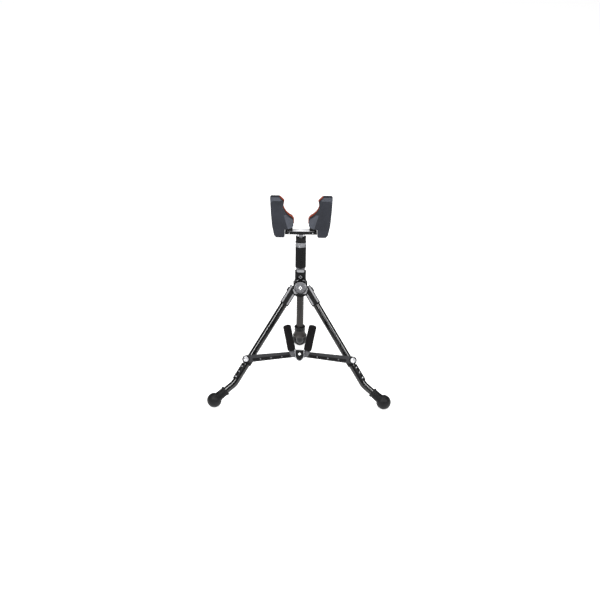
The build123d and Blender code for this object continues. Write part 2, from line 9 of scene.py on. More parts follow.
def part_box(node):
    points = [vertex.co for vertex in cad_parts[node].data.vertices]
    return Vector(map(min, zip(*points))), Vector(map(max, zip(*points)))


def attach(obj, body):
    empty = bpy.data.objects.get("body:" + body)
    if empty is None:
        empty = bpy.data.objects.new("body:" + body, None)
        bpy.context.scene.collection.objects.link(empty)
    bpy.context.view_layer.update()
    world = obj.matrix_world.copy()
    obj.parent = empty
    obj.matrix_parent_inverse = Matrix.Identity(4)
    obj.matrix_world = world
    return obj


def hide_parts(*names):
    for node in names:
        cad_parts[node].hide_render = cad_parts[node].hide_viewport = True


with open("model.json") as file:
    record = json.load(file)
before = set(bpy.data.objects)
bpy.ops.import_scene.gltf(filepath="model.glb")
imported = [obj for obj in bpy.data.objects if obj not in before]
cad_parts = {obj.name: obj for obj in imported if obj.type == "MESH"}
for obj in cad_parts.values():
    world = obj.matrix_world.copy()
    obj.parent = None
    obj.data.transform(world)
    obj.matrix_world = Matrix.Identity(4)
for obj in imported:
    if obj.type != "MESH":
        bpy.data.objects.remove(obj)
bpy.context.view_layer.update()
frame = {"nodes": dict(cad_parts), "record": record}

nodes = frame["nodes"]
behaviour = frame["record"]["behaviour"]
bodyOf = {node: body for body, members in behaviour["bodies"].items() for node in members}
slotOf = {part["node"]: part["material_slot"] for part in frame["record"]["subparts"]}
mm = 0.001
tubeFit = 8.05  # radius of a hole that the 16 mm tube passes through
print("frame loaded,", len(nodes), "nodes")

# the reclined A-frame: its hub, midway between the front legs' hinges, its upward line and the way it faces
recline = math.radians(25)
hub = Vector((0, -0.055034, 0.2407))
across = Vector((1, 0, 0))
upFrame = Vector((0, math.sin(recline), math.cos(recline)))
towards = Vector((0, -math.cos(recline), math.sin(recline)))
columnLow, columnHigh = (Vector(corner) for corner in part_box("column_tube"))
columnY = (columnLow.y + columnHigh.y) / 2


def framePoint(x, up, out):
    # a place in the A-frame's own plane, in millimetres from the hub
    return hub + (across * x + upFrame * up + towards * out) * mm


def columnPoint(z):
    return Vector((0, columnY, z * mm))


def linearColour(hexText):
    channels = [int(hexText[i:i + 2], 16) / 255 for i in (0, 2, 4)]
    return [c / 12.92 if c <= 0.04045 else ((c + 0.055) / 1.055) ** 2.4 for c in channels] + [1.0]


def addNode(tree, kind, settings=None, values=None, links=None):
    node = tree.nodes.new(kind)
    for key, value in (settings or {}).items():
        setattr(node, key, value)
    for key, value in (values or {}).items():
        node.inputs[key].default_value = value
    for key, socket in (links or {}).items():
        tree.links.new(socket, node.inputs[key])
    return node


finishes = {
    # gloss powder coat on drawn steel tube: near black, clear gloss with faint orange peel
    "blackPowderCoat": dict(dark="030304", light="070708", rough=(0.1, 0.17), grain=1.1, bump=0.018,
                            patch=24, specular=0.62, specks=0.0),
    # the same coat scuffed matt, on the rear leg that takes the most handling
    "scuffedPowderCoat": dict(dark="060607", light="0c0c0d", rough=(0.42, 0.56), grain=0.8, bump=0.08,
                              patch=20, specular=0.12, specks=0.02),
    # satin powder coat on the column: a warm dark grey with a dull, even sheen
    "greyPowderCoat": dict(dark="2e2b2a", light="373433", rough=(0.36, 0.48), grain=0.5, bump=0.12,
                           patch=18, specular=0.25, specks=0.0),
    # glass-filled nylon, injection moulded with a fine spark-eroded texture: black, softly scattering
    "blackNylon": dict(dark="040405", light="080809", rough=(0.3, 0.42), grain=0.35, bump=0.14,
                       patch=12, specular=0.1, specks=0.03),
    # the struts' nylon, a shade lighter and duller from handling
    "greyNylon": dict(dark="1d1d1f", light="262628", rough=(0.38, 0.5), grain=0.4, bump=0.16,
                      patch=14, specular=0.2, specks=0.05),
    # mid grey nylon of the hub bracket's recessed panels; on the sockets' panels and the hub ring's upper half
    # this pale grey is a painted highlight
    "greyPanelAndPaintedHighlight": dict(dark="6c6c6e", light="828285", rough=(0.28, 0.4), grain=0.4, bump=0.1,
                       patch=10, specular=0.5, specks=0.05),
    # mid-grey acetal of the release buttons and elbows: waxy and smooth
    "greyAcetal": dict(dark="38383b", light="48484c", rough=(0.25, 0.36), grain=0.6, bump=0.04,
                       patch=8, specular=0.4, specks=0.0),
    # light moulded strip of the arm
    "paleNylon": dict(dark="77787b", light="8e8f92", rough=(0.3, 0.42), grain=0.4, bump=0.06,
                      patch=6, specular=0.4, specks=0.0),
    # pad-printed white paint of the plain lozenge marks: matt, slightly uneven
    "printedWhite": dict(dark="dcdcdc", light="f2f2f2", rough=(0.5, 0.6), grain=0.3, bump=0.05,
                         patch=3, specular=0.4, specks=0.0),
    # cradle pads: soft-touch thermoplastic rubber, charcoal blue, matt with a bloom
    "charcoalRubber": dict(dark="1a1c22", light="23252c", rough=(0.5, 0.64), grain=0.5, bump=0.2,
                           patch=30, specular=0.12, specks=0.05),
    # the same rubber on the top facet and the scoop: smoother, and painted paler as a painted highlight where
    # these faces catch the light
    "rubberPaintedHighlight": dict(dark="30333a", light="3d4049", rough=(0.36, 0.48), grain=0.5, bump=0.08,
                           patch=20, specular=0.3, specks=0.03),
    # silicone liner of the cradle: saturated orange with a soft gloss
    "orangeSilicone": dict(dark="7c2c12", light="943a18", rough=(0.35, 0.48), grain=0.5, bump=0.08,
                           patch=10, specular=0.35, specks=0.0),
    # ball feet: moulded natural rubber with talc marks
    "footRubber": dict(dark="070708", light="0d0d0e", rough=(0.36, 0.52), grain=0.7, bump=0.18,
                       patch=11, specular=0.14, specks=0.04),
    # end ring of the column: denser, shinier rubber
    "ringRubber": dict(dark="060607", light="0c0c0d", rough=(0.22, 0.34), grain=0.6, bump=0.06,
                       patch=8, specular=0.22, specks=0.0),
}
metals = {
    # zinc-plated steel caps, rivets and screws: bright, lightly brushed
    "zincSteel": dict(dark="c0c1c4", light="dcdcdf", rough=(0.24, 0.38), grain=0.25, bump=0.04, patch=5,
                      stretch=(1, 1, 1)),
    # grey anodised aluminium disc: fine turned lines
    "greyAnodised": dict(dark="66666a", light="808083", rough=(0.28, 0.42), grain=0.35, bump=0.08, patch=7,
                         stretch=(1, 1, 9)),
    # machined and anodised collar under the head: brushed round its girth
    "brushedCollar": dict(dark="5c5c5f", light="828386", rough=(0.24, 0.4), grain=0.3, bump=0.1, patch=9,
                          stretch=(1, 1, 14)),
    # plate that carries the pads: painted near white as a painted reflection of the bright room on its upper
    # faces, kept almost non-metallic, so that it reads pale instead of mirroring the dark parts above it
    "platePaintedReflection": dict(metallic=0.1, dark="dcdde0", light="f2f2f4", rough=(0.3, 0.42), grain=0.3, bump=0.05,
                        patch=16, stretch=(0.2, 3, 3)),
}


def startMaterial(name):
    material = bpy.data.materials.new(name)
    material.use_nodes = True
    tree = material.node_tree
    return material, tree, tree.nodes["Principled BSDF"]


def noiseRange(tree, place, size, low, high):
    # a noise of that feature size in millimetres, spread between two values
    noise = addNode(tree, "ShaderNodeTexNoise", {}, {"Scale": 1 / (size * mm), "Detail": 3.0},
                    {"Vector": place})
    return addNode(tree, "ShaderNodeMapRange", {}, {"From Min": 0.3, "From Max": 0.7, "To Min": low,
                                                    "To Max": high}, {"Value": noise.outputs["Fac"]})


def patchedColour(tree, place, look):
    patches = noiseRange(tree, place, look["patch"], 0.0, 1.0)
    ramp = addNode(tree, "ShaderNodeValToRGB", {}, {}, {"Fac": patches.outputs["Result"]})
    ramp.color_ramp.elements[0].color = linearColour(look["dark"])
    ramp.color_ramp.elements[1].color = linearColour(look["light"])
    return ramp.outputs["Color"]


def grainBump(tree, place, look, depth, shader):
    grain = addNode(tree, "ShaderNodeTexNoise", {}, {"Scale": 1 / (look["grain"] * mm), "Detail": 2.0},
                    {"Vector": place})
    bump = addNode(tree, "ShaderNodeBump", {}, {"Strength": look["bump"], "Distance": depth},
                   {"Height": grain.outputs["Fac"]})
    tree.links.new(bump.outputs["Normal"], shader.inputs["Normal"])


def mouldedFinish(name, look):
    material, tree, shader = startMaterial(name)
    place = addNode(tree, "ShaderNodeTexCoord").outputs["Object"]
    colour = patchedColour(tree, place, look)
    if look["specks"]:  # pale moulding dust that sits in the texture
        specks = noiseRange(tree, place, look["grain"] * 1.7, 0.0, look["specks"])
        pale = addNode(tree, "ShaderNodeMix", {"data_type": "RGBA"}, {7: linearColour("8b8c90")},
                       {0: specks.outputs["Result"], 6: colour})
        colour = pale.outputs[2]
    tree.links.new(colour, shader.inputs["Base Color"])
    wear = noiseRange(tree, place, look["patch"] * 0.45, *look["rough"])
    tree.links.new(wear.outputs["Result"], shader.inputs["Roughness"])
    grainBump(tree, place, look, 0.0004, shader)
    shader.inputs["IOR"].default_value = 1.5
    shader.inputs["Specular IOR Level"].default_value = look["specular"]
    return material


def metalFinish(name, look):
    material, tree, shader = startMaterial(name)
    place = addNode(tree, "ShaderNodeTexCoord").outputs["Object"]
    lines = addNode(tree, "ShaderNodeMapping", {}, {"Scale": look["stretch"]}, {"Vector": place})
    tree.links.new(patchedColour(tree, place, look), shader.inputs["Base Color"])
    wear = noiseRange(tree, lines.outputs["Vector"], look["patch"] * 0.5, *look["rough"])
    tree.links.new(wear.outputs["Result"], shader.inputs["Roughness"])
    grainBump(tree, lines.outputs["Vector"], look, 0.0002, shader)
    shader.inputs["Metallic"].default_value = look.get("metallic", 1.0)
    return material


def foamFinish(name):
    # closed-cell neoprene foam: near black, cells of about half a millimetre, a faint sheen from the skin
    material, tree, shader = startMaterial(name)
    place = addNode(tree, "ShaderNodeTexCoord").outputs["Object"]
    cellSize = 0.9  # drawn twice as coarse as real cells so that they show
    cells = addNode(tree, "ShaderNodeTexVoronoi", {"feature": "F1"}, {"Scale": 1 / (cellSize * mm)},
                    {"Vector": place})
    colour = patchedColour(tree, place, dict(patch=9, dark="070607", light="0e0c0d"))
    tree.links.new(colour, shader.inputs["Base Color"])
    bump = addNode(tree, "ShaderNodeBump", {"invert": True}, {"Strength": 0.4, "Distance": 0.0003},
                   {"Height": cells.outputs["Distance"]})
    tree.links.new(bump.outputs["Normal"], shader.inputs["Normal"])
    shader.inputs["Roughness"].default_value = 0.8
    shader.inputs["Specular IOR Level"].default_value = 0.1
    shader.inputs["Sheen Weight"].default_value = 0.02
    shader.inputs["Sheen Roughness"].default_value = 0.5
    return material


materials = {name: mouldedFinish(name, look) for name, look in finishes.items()}
materials.update({name: metalFinish(name, look) for name, look in metals.items()})
materials["blackFoam"] = foamFinish("blackFoam")
print("finishes made,", len(materials))

slotFinish = {
    "leg_tube": "blackPowderCoat", "moulding": "blackNylon", "strut_plastic": "greyNylon",
    "column_paint": "greyPowderCoat", "pad_rubber": "charcoalRubber", "liner_rubber": "orangeSilicone",
    "foam": "blackFoam", "foot_rubber": "footRubber", "cap_steel": "zincSteel", "disc_metal": "greyAnodised",
    "collar_metal": "brushedCollar", "plate_steel": "platePaintedReflection", "button_grey": "greyAcetal",
    "elbow_grey": "greyAcetal", "strip_grey": "paleNylon", "ring_rubber": "ringRubber",
}
# pins are blackened, and the rear tube is scuffed
ownFinish = {"peg_pins": "blackNylon", "leg_pins": "blackNylon", "leg_tube_rear": "scuffedPowderCoat",
             "strut_rivets_left": "greyAnodised", "strut_rivets_right": "greyAnodised"}
for node, thing in nodes.items():  # every CAD node that stays gets its finish
    thing.data.materials.clear()
    thing.data.materials.append(materials[ownFinish.get(node, slotFinish[slotOf[node]])])


def finishPiece(bm, name, node, finish=None, second=None, smoothAngle=32, replaced=True):
    # turn a bmesh into a piece that rides on a CAD node's body, and stands for the node
    bmesh.ops.remove_doubles(bm, verts=bm.verts, dist=1e-6)
    bmesh.ops.recalc_face_normals(bm, faces=bm.faces)
    sharp = math.radians(smoothAngle)
    for edge in bm.edges:
        edge.smooth = edge.is_manifold and edge.calc_face_angle(0) < sharp
    for face in bm.faces:
        face.smooth = True
    mesh = bpy.data.meshes.new(name)
    bm.to_mesh(mesh)
    bm.free()
    mesh.materials.append(materials[finish or slotFinish[slotOf[node]]])
    if second:
        mesh.materials.append(materials[second])
    piece = bpy.data.objects.new(name, mesh)
    bpy.context.scene.collection.objects.link(piece)
    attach(piece, bodyOf[node])
    if replaced:
        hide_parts(node)
    return piece


def easeEdges(piece, width, segments=2):
    ease = piece.modifiers.new("easedEdges", "BEVEL")
    ease.width = width * mm
    ease.segments = segments
    ease.limit_method = "ANGLE"
    ease.angle_limit = math.radians(32)
    ease.use_clamp_overlap = True
    ease.harden_normals = True


def cadCopy(node):
    # the node's own shape as whole flat faces, ready for edges to be worked
    bm = bmesh.new()
    bm.from_mesh(nodes[node].data)
    bmesh.ops.remove_doubles(bm, verts=bm.verts, dist=2e-6)
    bmesh.ops.dissolve_limit(bm, angle_limit=math.radians(0.6), verts=bm.verts, edges=bm.edges)
    bm.normal_update()
    return bm


def allOf(bm):
    return bm.verts[:] + bm.edges[:] + bm.faces[:]


def fillCut(bm, cut):
    # close the hole that a cut with a plane leaves
    bmesh.ops.edgenet_fill(bm, edges=[item for item in cut["geom_cut"] if isinstance(item, bmesh.types.BMEdge)])


def turned(bm, profile, base, axis, steps=48):
    # spin a profile of (radius, distance along) points about an axis, as a lathe does
    axis = axis.normalized()
    side = axis.orthogonal().normalized()
    verts = [bm.verts.new(base + (side * radius + axis * along) * mm) for radius, along in profile]
    edges = [bm.edges.new(pair) for pair in zip(verts, verts[1:])]
    bmesh.ops.spin(bm, geom=verts + edges, cent=base, axis=axis, angle=math.tau, steps=steps, use_merge=True)


def sunkPanel(bm, facing, look):
    # sink a panel into the large flat faces that look one way, and give it the second finish
    flats = [face for face in bm.faces
             if face.normal.dot(facing) > 0.995 and face.calc_area() > look["least"] * mm * mm]
    bmesh.ops.inset_individual(bm, faces=flats, thickness=look["rim"] * mm, depth=0)
    bmesh.ops.inset_individual(bm, faces=flats, thickness=0.3 * mm, depth=-look["depth"] * mm)
    for face in flats:
        face.material_index = 1


# plain mouldings: the CAD shape with eased edges
mouldings = {
    "column_clamp": dict(ease=0.6), "leg_socket_rear": dict(ease=0.8), "strut_boss_left": dict(ease=0.6),
    "strut_boss_right": dict(ease=0.6), "hub_body": dict(ease=0.5), "clamp_lever": dict(ease=0.5),
    "lever_fork": dict(ease=0.4), "arm_strip": dict(ease=0.5), "cradle_bracket": dict(ease=0.4),
    "lower_hub": dict(ease=0.4), "leg_guard_left": dict(ease=0.4),
    "leg_guard_right": dict(ease=0.4), "leg_guard_rear": dict(ease=0.4), "cradle_liner_left": dict(ease=0.3),
    "cradle_liner_right": dict(ease=0.3), "cradle_bolts": dict(ease=0.4),
}
for node, look in mouldings.items():
    easeEdges(finishPiece(cadCopy(node), node + "_eased", node), look["ease"])
print("mouldings eased,", len(mouldings))

# the front legs lean out from hinges beside the hub, and their tubes run a little outside the hinges
legs = dict(turn=math.radians(31.3), hinge=9.0, offset=4.2)


def legFrame(sign):
    # a front leg's outward and downward directions, and the spot on its axis beside the hinge
    out = (across * sign * math.cos(legs["turn"]) + upFrame * math.sin(legs["turn"])).normalized()
    down = (across * sign * math.sin(legs["turn"]) - upFrame * math.cos(legs["turn"])).normalized()
    return out, down, framePoint(sign * legs["hinge"], 0, 0) + out * legs["offset"] * mm


# front sockets: a sunk panel on the face that looks forward, painted with two pale stripes as a painted
# highlight, and a dark middle
socket = dict(rim=2.0, depth=0.5, ease=0.8, least=300, lines=(-5.0, 4.6))
for node, sign in (("leg_socket_left", -1), ("leg_socket_right", 1)):
    legOut, _, centre = legFrame(sign)
    bm = cadCopy(node)
    sunkPanel(bm, towards, socket)
    for line in socket["lines"]:
        bmesh.ops.bisect_plane(bm, geom=allOf(bm), plane_co=centre + legOut * line * mm, plane_no=legOut)
    for face in bm.faces:  # the panel's middle stays dark, between two pale stripes of painted highlight
        offset = (face.calc_center_median() - centre).dot(legOut) / mm
        if face.material_index == 1 and socket["lines"][0] < offset < socket["lines"][-1]:
            face.material_index = 0
    easeEdges(finishPiece(bm, node + "_panelled", node, second="greyPanelAndPaintedHighlight"), socket["ease"])

# hub bracket: the same sunk pale panel on each of its plates
bracket = dict(rim=2.2, depth=0.4, ease=0.5, least=250)
bm = cadCopy("hub_bracket")
sunkPanel(bm, towards, bracket)
easeEdges(finishPiece(bm, "hubBracketPanelled", "hub_bracket", second="greyPanelAndPaintedHighlight"), bracket["ease"])

# how far out from the hub the faces stand that carry a raised mark
badge = dict(discFace=15.6, blockFace=36.0, slack=0.15)


def paintBadge(bm, height):
    # the raised plain lozenge stands above the face, and is printed white
    for face in bm.faces:
        spot = face.calc_center_median() - hub
        if spot.dot(towards) / mm > height + badge["slack"]:
            face.material_index = 1


# the disc and its ring are drawn smaller than the CAD's; above the split the ring is painted pale as a painted
# highlight, below it the ring is black
hubFront = dict(share=0.85, base=13, split=-3)
hubFrontPlace = Matrix.Translation(-framePoint(0, 0, hubFront["base"]))
bm = cadCopy("hub_ring")
bmesh.ops.scale(bm, vec=[hubFront["share"]] * 3, space=hubFrontPlace, verts=bm.verts)
bmesh.ops.bisect_plane(bm, geom=allOf(bm), plane_co=framePoint(0, hubFront["split"], 0),
                       plane_no=upFrame)
# painted highlight: the ring's upper part, which faces the light, gets the pale grey
for face in bm.faces:
    if (face.calc_center_median() - hub).dot(upFrame) > hubFront["split"] * mm:
        face.material_index = 1
easeEdges(finishPiece(bm, "hubRingPaintedHighlight", "hub_ring", second="greyPanelAndPaintedHighlight"), 0.3)
bm = cadCopy("hub_disc")
paintBadge(bm, badge["discFace"])
bmesh.ops.scale(bm, vec=(hubFront["share"], hubFront["share"], 1), space=hubFrontPlace, verts=bm.verts)
easeEdges(finishPiece(bm, "hubDiscPrinted", "hub_disc", second="printedWhite"), 0.25)
bm = cadCopy("lower_hub_block")
paintBadge(bm, badge["blockFace"])
easeEdges(finishPiece(bm, "lowerHubBlockPrinted", "lower_hub_block", second="printedWhite"), 0.4)

# struts: the grooved band, which stands further back than the rest, is painted in the darker nylon as painted
# shade in the recess
bandDepth = 17
for side in ("left", "right"):
    bm = cadCopy("strut_" + side)
    for face in bm.faces:
        depth = (face.calc_center_median() - hub).dot(towards) / mm
        if face.normal.dot(towards) > 0.9 and depth < bandDepth:
            face.material_index = 1
    easeEdges(finishPiece(bm, "strutShadedBand_" + side, "strut_" + side, second="blackNylon"), 0.7)
print("hub and struts done")

# cradle pads: charcoal rubber with a wide top facet, a scooped lip and rounded rims. The pad's front
# tapers back from "front" at height "foot" by "taperDepth" over "taperHigh"
padLook = dict(topFacet=6.0, lipScoop=2.2, scoopLean=0.34, scoopRise=0.3, scoopX=35.5, scoopZ=402, scoopTop=411,
               rim=1.5, topFrom=444, lipLow=392, lipHigh=421, lipOut=38, front=-18, foot=372, taperDepth=9,
               taperHigh=77, taperFacing=(0, -0.9932, 0.1161))
for side in ("left", "right"):
    bm = cadCopy("cradle_pad_" + side)

    def rimEdges(test):
        found = []
        for edge in bm.edges:
            if len(edge.link_faces) != 2 or edge.calc_face_angle(0) < 0.5:
                continue
            middle = (edge.verts[0].co + edge.verts[1].co) / 2
            front = any(face.normal.y < -0.85 for face in edge.link_faces)
            if front and middle.y < columnY - 6 * mm and test(abs(middle.x) / mm, middle.z / mm):
                found.append(edge)
        return found

    # the lip's front leans away towards the gap
    sign = -1 if side == "left" else 1
    taper = Vector(padLook["taperFacing"])
    facing = taper + Vector((-sign, 0, padLook["scoopRise"])) * padLook["scoopLean"]
    frontAt = columnY + (padLook["front"] + (padLook["scoopZ"] - padLook["foot"])
                         * padLook["taperDepth"] / padLook["taperHigh"]) * mm
    cut = bmesh.ops.bisect_plane(bm, geom=allOf(bm),
                                 plane_co=Vector((sign * padLook["scoopX"] * mm, frontAt,
                                                  padLook["scoopZ"] * mm)),
                                 plane_no=facing.normalized(), clear_outer=True)
    fillCut(bm, cut)
    bm.normal_update()
    top = rimEdges(lambda x, z: z > padLook["topFrom"])
    bmesh.ops.bevel(bm, geom=top, offset=padLook["topFacet"] * mm, affect="EDGES", segments=1, profile=0.5,
                    material=-1, clamp_overlap=True)
    lip = rimEdges(lambda x, z: padLook["lipLow"] < z < padLook["lipHigh"] and x < padLook["lipOut"])
    bmesh.ops.bevel(bm, geom=lip, offset=padLook["lipScoop"] * mm, affect="EDGES", segments=3, profile=0.5,
                    material=-1, clamp_overlap=True)
    bmesh.ops.bisect_plane(bm, geom=allOf(bm),
                           plane_co=Vector((0, 0, padLook["scoopTop"] * mm)), plane_no=Vector((0, 0, 1)))
    bm.normal_update()
    for face in bm.faces:  # painted highlight: the faces that look up at the front, and the scoop, are painted paler
        lifted = face.normal.z > 0.35 and face.normal.y < -0.3
        scooped = (face.normal.y < -0.8 and -sign * face.normal.x > 0.2
                   and face.calc_center_median().z < padLook["scoopTop"] * mm)
        if lifted or scooped:
            face.material_index = 1
    pad = finishPiece(bm, "cradlePad_" + side, "cradle_pad_" + side, second="rubberPaintedHighlight", smoothAngle=12)
    easeEdges(pad, padLook["rim"], 3)
print("cradle pads done")

# plate: its upper faces painted pale as a painted reflection, with its front edges and its two posts black
plate = dict(screwX=25.7, screwZ=366.9, front=9.3, head=1.3, postsAbove=370.6)
bm = cadCopy("cradle_plate")
for face in bm.faces:
    middle = face.calc_center_median()
    if face.normal.y < -0.4 or middle.z > plate["postsAbove"] * mm:
        face.material_index = 1
easeEdges(finishPiece(bm, "cradlePlatePaintedReflection", "cradle_plate", second="blackNylon"), 0.35)
bm = bmesh.new()  # the stiffening bar along the plate's front
bar = dict(half=35.2, low=363.4, high=370.2, back=7.7, front=9.3)
middle = Vector((0, columnY - (bar["back"] + bar["front"]) / 2 * mm, (bar["low"] + bar["high"]) / 2 * mm))
bmesh.ops.create_cube(bm, size=1, matrix=Matrix.Translation(middle) @ Matrix.Diagonal(
    (2 * bar["half"] * mm, (bar["front"] - bar["back"]) * mm, (bar["high"] - bar["low"]) * mm, 1)))
easeEdges(finishPiece(bm, "plateBar", "cradle_plate", "blackNylon", replaced=False), 0.4)
bm = bmesh.new()  # two small screws that hold the pads' feet
for side in (-1, 1):
    turned(bm, [(0, 1.0), (plate["head"] * 0.7, 0.85), (plate["head"], 0.2), (plate["head"], -0.6)],
           Vector((side * plate["screwX"] * mm, columnY - plate["front"] * mm, plate["screwZ"] * mm)),
           Vector((0, -1, 0)), 20)
finishPiece(bm, "plateScrews", "cradle_bolts", "zincSteel", replaced=False)

# swivel head: black block with a bright turned knuckle above this height
headTop = 354.1
bm = cadCopy("swivel_head")
for face in bm.faces:
    if face.calc_center_median().z / mm > headTop:
        face.material_index = 1
easeEdges(finishPiece(bm, "swivelHeadKnuckled", "swivel_head", second="brushedCollar"), 0.5)

# collar: a turned band with two grooves under the head
collar = dict(low=332.3, high=344.1, radius=12.2)
bm = bmesh.new()
low, high, radius = collar["low"], collar["high"], collar["radius"]
turned(bm, [(4, low), (radius - 1, low), (radius, low + 0.9), (radius, low + 3.6), (radius - 0.5, low + 4),
            (radius - 0.5, high - 3.8), (radius, high - 3.4), (radius, high - 0.9), (radius - 1, high),
            (4, high)], Vector((0, columnY, 0)), Vector((0, 0, 1)), 64)
easeEdges(finishPiece(bm, "collarTurned", "arm_collar"), 0.25)

# arm: a pale core, and a fluted black cover that ends in a shallow point
arm = dict(width=23.4, depth=19.7, high=332.0, low=279.5, point=281.0, slope=0.42, corner=1.6, flute=1.9,
           fluteDepth=0.45, fluteLeast=20, coreShare=0.93)
bm = cadCopy("arm_body")
bmesh.ops.scale(bm, vec=(arm["coreShare"], arm["coreShare"], 1), space=Matrix.Translation(-columnPoint(0)),
                verts=bm.verts)
easeEdges(finishPiece(bm, "armCore", "arm_body", "greyAcetal"), 0.5)
bm = bmesh.new()
tall = arm["high"] - arm["low"]
bmesh.ops.create_cube(bm, size=1, matrix=Matrix.Translation(columnPoint(arm["low"] + tall / 2))
                      @ Matrix.Diagonal((arm["width"] * mm, arm["depth"] * mm, tall * mm, 1)))
corners = [edge for edge in bm.edges if abs((edge.verts[0].co - edge.verts[1].co).z) > 0.01]
bmesh.ops.bevel(bm, geom=corners, offset=arm["corner"] * mm, affect="EDGES", segments=4, profile=0.5,
                material=-1)
ends = [face for face in bm.faces if abs(face.normal.z) > 0.9]
bmesh.ops.delete(bm, geom=ends, context="FACES_ONLY")
for lean in (-1, 1):  # the two slants of the point
    bmesh.ops.bisect_plane(bm, geom=allOf(bm), plane_co=columnPoint(arm["point"]),
                           plane_no=Vector((lean * arm["slope"], 0, -1)).normalized(), clear_outer=True)
reach = arm["width"] / 2 - arm["corner"]
for direction, half in ((Vector((1, 0, 0)), reach), (Vector((0, 1, 0)), arm["depth"] / 2 - arm["corner"])):
    cuts = int(2 * half / arm["flute"])
    for step in range(cuts + 1):
        spot = columnPoint(arm["low"]) + direction * (-half + step * 2 * half / cuts) * mm
        bmesh.ops.bisect_plane(bm, geom=allOf(bm), plane_co=spot,
                               plane_no=direction)
bm.normal_update()
flutes = [face for face in bm.faces if max(abs(face.normal.x), abs(face.normal.y)) > 0.999
          and face.calc_area() > arm["fluteLeast"] * mm * mm]
bmesh.ops.inset_individual(bm, faces=flutes, thickness=0.3 * mm, depth=0)
bmesh.ops.inset_individual(bm, faces=flutes, thickness=0.2 * mm, depth=-arm["fluteDepth"] * mm)
finishPiece(bm, "armCover", "arm_body", "blackNylon", replaced=False, smoothAngle=28)
print("cradle, head and arm done")

# column end: a shiny rubber ring over a bell with a rolled lip
bell = dict(low=114.8, lip=15.3)
bm = bmesh.new()
low = bell["low"]
turned(bm, [(tubeFit, low + 16), (11.2, low + 16), (11.6, low + 11), (12.6, low + 7), (14.2, low + 3.6),
            (bell["lip"], low + 2.2), (bell["lip"], low + 0.8), (14.5, low), (12.6, low + 0.2),
            (11.4, low + 1.6), (tubeFit, low + 2)], Vector((0, columnY, 0)), Vector((0, 0, 1)), 64)
easeEdges(finishPiece(bm, "columnBellTurned", "column_bell"), 0.4)
ring = dict(low=128.8, high=139.2, radius=12.2, seat=131.2, neck=11.3)
bm = bmesh.new()
low, high, radius = ring["low"], ring["high"], ring["radius"]
turned(bm, [(ring["neck"], ring["seat"]), (ring["neck"], low), (radius - 0.3, low), (radius, low + 0.8),
            (radius - 0.7, low + 4.6), (radius, low + 5.4), (radius, high - 1.4), (10.6, high),
            (tubeFit, high - 1.2), (tubeFit, ring["seat"]), (ring["neck"], ring["seat"])],
       Vector((0, columnY, 0)), Vector((0, 0, 1)), 64)
easeEdges(finishPiece(bm, "columnRingTurned", "column_ring"), 0.35)

# rest pegs: a bent grey elbow, and a foam sleeve with rounded ends
pegs = dict(out=15.1, drop=147.0, forward=30.0, lean=11.7, tilt=20.0, bend=7.4, pipe=5.6, neck=6.1,
            foamStart=12.0, foamEnd=70.0, foamRadius=8.8, core=3.5, skin=2.6)
lean, tilt = math.radians(pegs["lean"]), math.radians(pegs["tilt"])
for side, sign in (("left", -1), ("right", 1)):
    base = framePoint(sign * pegs["out"], -pegs["drop"], pegs["forward"])
    outwards = across * sign
    along = (outwards * math.sin(lean) * math.cos(tilt) + upFrame * math.cos(lean) * math.cos(tilt)
             + towards * math.sin(tilt))
    bend = outwards.angle(along)
    reach = pegs["bend"] * math.tan(bend / 2)
    inwards = (along - outwards * along.dot(outwards)).normalized()
    start = base - outwards * reach * mm
    bm = bmesh.new()
    facing = outwards.to_track_quat("Z", "Y").to_matrix().to_4x4()
    rim = bmesh.ops.create_circle(bm, cap_ends=True, segments=32, radius=pegs["pipe"] * mm,
                                  matrix=Matrix.Translation(start) @ facing)
    faces = list({face for vert in rim["verts"] for face in vert.link_faces})
    bmesh.ops.spin(bm, geom=rim["verts"] + faces, cent=start + inwards * pegs["bend"] * mm,
                   axis=outwards.cross(inwards), angle=bend, steps=12)
    neck = pegs["neck"]
    turned(bm, [(0, reach - 1), (neck - 0.6, reach - 1), (neck, reach), (neck, pegs["foamStart"] - 1),
                (neck - 0.6, pegs["foamStart"]), (0, pegs["foamStart"])], base, along, 32)
    easeEdges(finishPiece(bm, "pegElbow_" + side, "peg_elbow_" + side), 0.4)
    bm = bmesh.new()
    low, high, radius, skin = pegs["foamStart"], pegs["foamEnd"], pegs["foamRadius"], pegs["skin"]
    turned(bm, [(pegs["core"], low), (radius - skin, low), (radius - 0.7, low + 0.6),
                (radius - 0.1, low + skin),
                (radius, low + 8), (radius - 0.25, (low + high) / 2), (radius, high - 8),
                (radius - 0.1, high - skin), (radius - 0.8, high - 0.8), (radius - skin, high),
                (pegs["core"] * 0.5, high - 0.4), (0, high - 0.5)], base, along, 48)
    foam = finishPiece(bm, "pegFoam_" + side, "peg_foam_" + side, smoothAngle=50)
print("rest pegs done")

